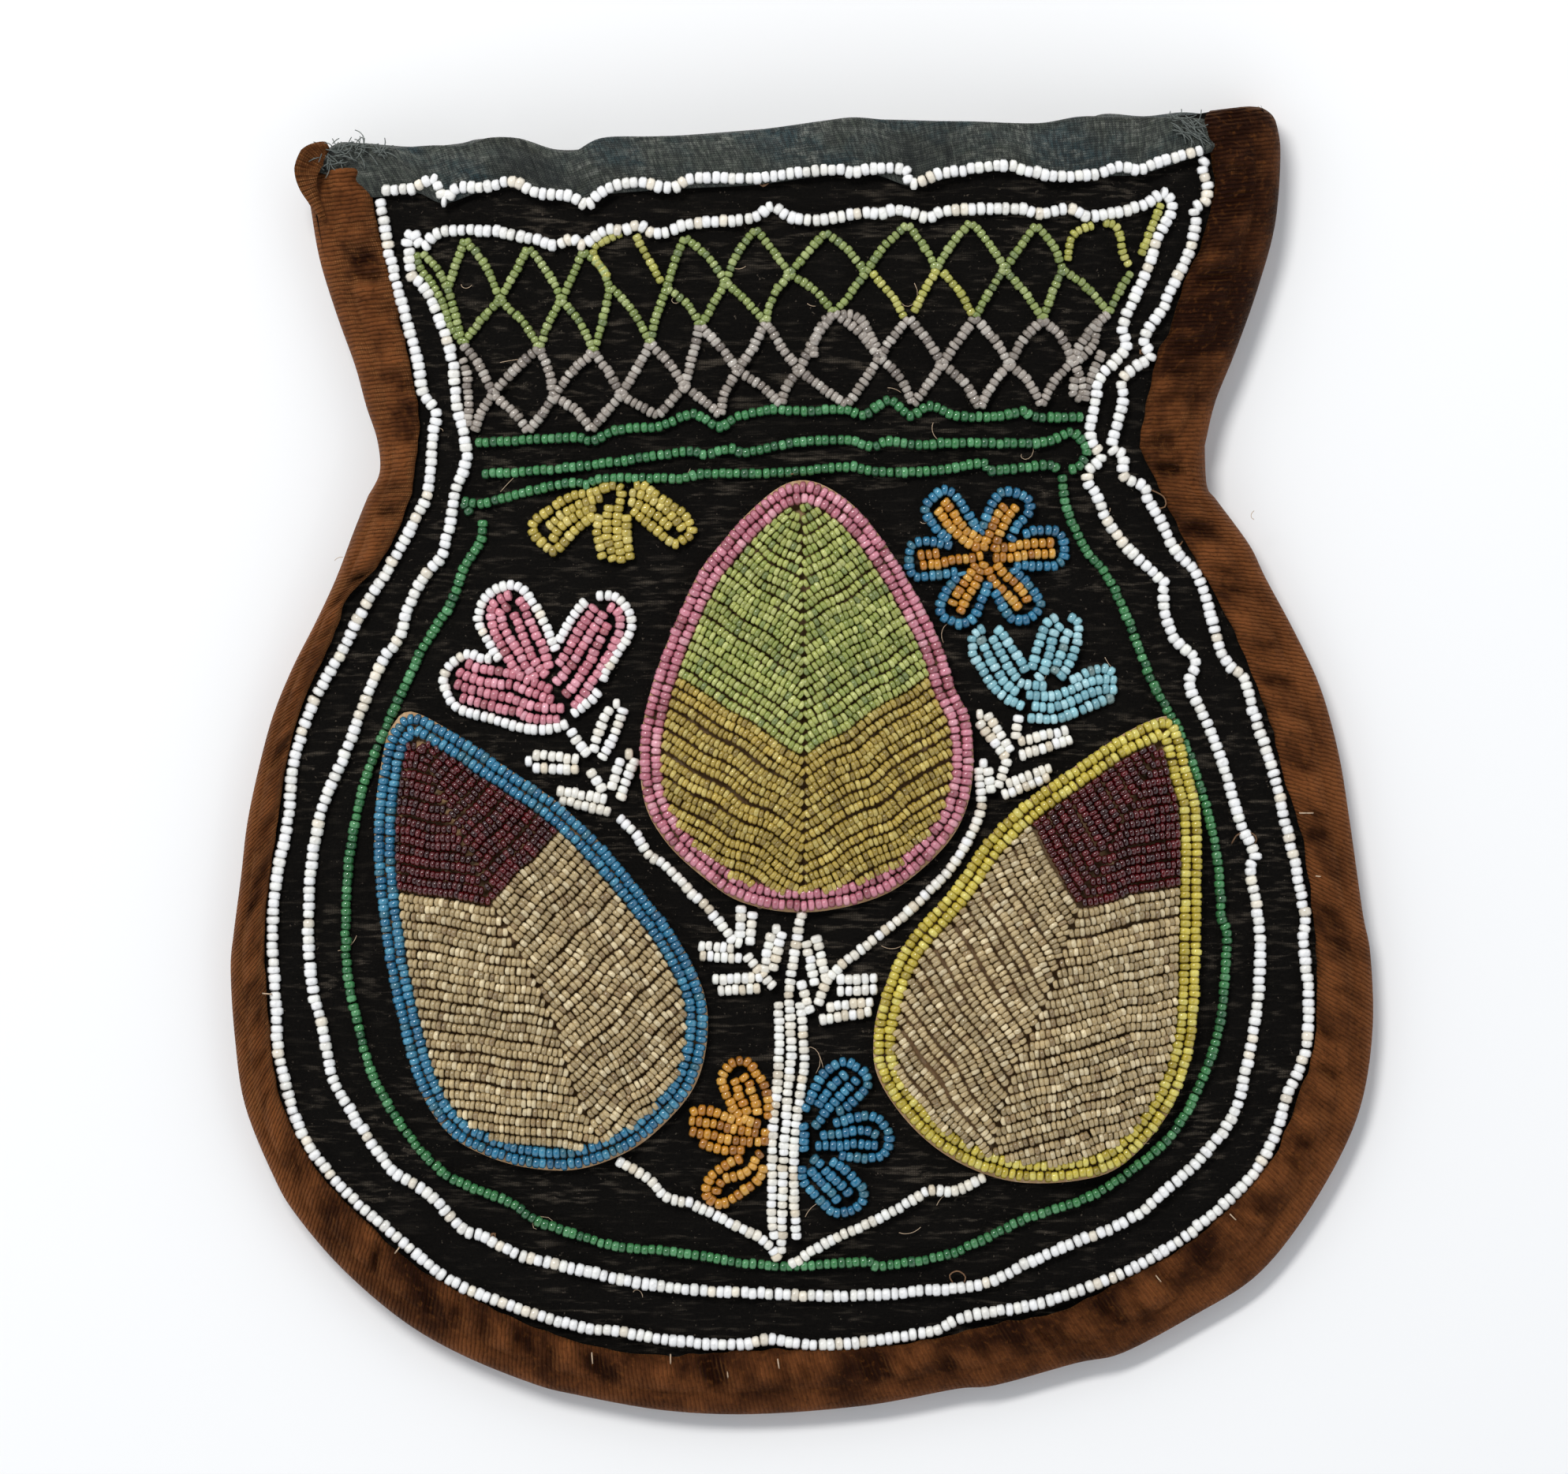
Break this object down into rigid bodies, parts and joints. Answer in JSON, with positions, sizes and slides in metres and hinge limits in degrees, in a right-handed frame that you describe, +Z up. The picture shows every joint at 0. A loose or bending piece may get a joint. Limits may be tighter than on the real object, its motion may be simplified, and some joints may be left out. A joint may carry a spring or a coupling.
{
  "type": "beaded purse",
  "caption": "Flat velvet purse with a narrow neck, bound edges, beaded borders, open bead nets at the neck, and raised bead leaves on the front; the front lip folds open.",
  "frame": {"origin": "centre of the bounding box at the bottom, where the back of the purse lies on the table", "axes": "+X to the right of the beaded front, +Y towards the mouth, +Z up out of the beaded front"},
  "size_m": [0.1659, 0.1906, 0.0148],
  "materials": {
    "black_velvet": "short pile, worn",
    "brown_velvet": "short pile, worn to the weave",
    "blue_grey_cloth": "matte plain weave",
    "undyed_cloth": "matte",
    "leaf_card": "matte card under the beads",
    "white_beads": "opaque gloss",
    "green_beads": "gloss",
    "light_green_beads": "gloss",
    "crystal_beads": "clear gloss over tan thread",
    "pink_beads": "gloss",
    "blue_beads": "gloss",
    "yellow_beads": "gloss",
    "leaf_green_beads": "gloss",
    "gold_beads": "gloss",
    "dark_red_beads": "gloss",
    "amber_beads": "gloss",
    "turquoise_beads": "gloss"
  },
  "bodies": {
    "purse": {"back_velvet": "black_velvet", "back_interlining": "undyed_cloth", "back_lining": "blue_grey_cloth", "front_velvet": "black_velvet", "front_interlining": "undyed_cloth", "front_lining": "blue_grey_cloth", "body_binding": "brown_velvet", "back_lip_binding_left": "brown_velvet", "back_lip_binding_right": "brown_velvet", "back_mouth_binding": "blue_grey_cloth", "white_outer_line": "white_beads", "white_inner_line": "white_beads", "green_line": "green_beads", "centre_leaf_card": "leaf_card", "centre_leaf_rim": "pink_beads", "centre_leaf_green_fill": "leaf_green_beads", "centre_leaf_gold_fill": "gold_beads", "left_leaf_card": "leaf_card", "left_leaf_rim": "blue_beads", "left_leaf_red_fill": "dark_red_beads", "left_leaf_crystal_fill": "crystal_beads", "right_leaf_card": "leaf_card", "right_leaf_rim": "yellow_beads", "right_leaf_red_fill": "dark_red_beads", "right_leaf_crystal_fill": "crystal_beads", "trunk": "white_beads", "stalk": "white_beads", "left_vine": "white_beads", "right_vine": "white_beads", "left_sprig": "white_beads", "right_sprig": "white_beads", "yellow_flower": "yellow_beads", "pink_flower": "pink_beads", "star_flower": "amber_beads", "turquoise_flower": "turquoise_beads", "amber_flower": "amber_beads", "blue_flower": "blue_beads"},
    "front_lip": {"front_velvet_lip": "black_velvet", "front_interlining_lip": "undyed_cloth", "front_lining_lip": "blue_grey_cloth", "lip_binding_left": "brown_velvet", "lip_binding_right": "brown_velvet", "front_mouth_binding": "blue_grey_cloth", "white_outer_line_lip": "white_beads", "white_inner_line_lip": "white_beads", "green_row_upper": "green_beads", "green_row_middle": "green_beads", "green_net": "light_green_beads", "crystal_net": "crystal_beads"}
  },
  "joints": [
    {"name": "lip_fold", "type": "hinge", "parent": "purse", "child": "front_lip", "pos_m": [-0.00228, 0.04149, 0.0124], "axis": [0.9982, 0.06, 0], "range_deg": [0, 35]}
  ]
}
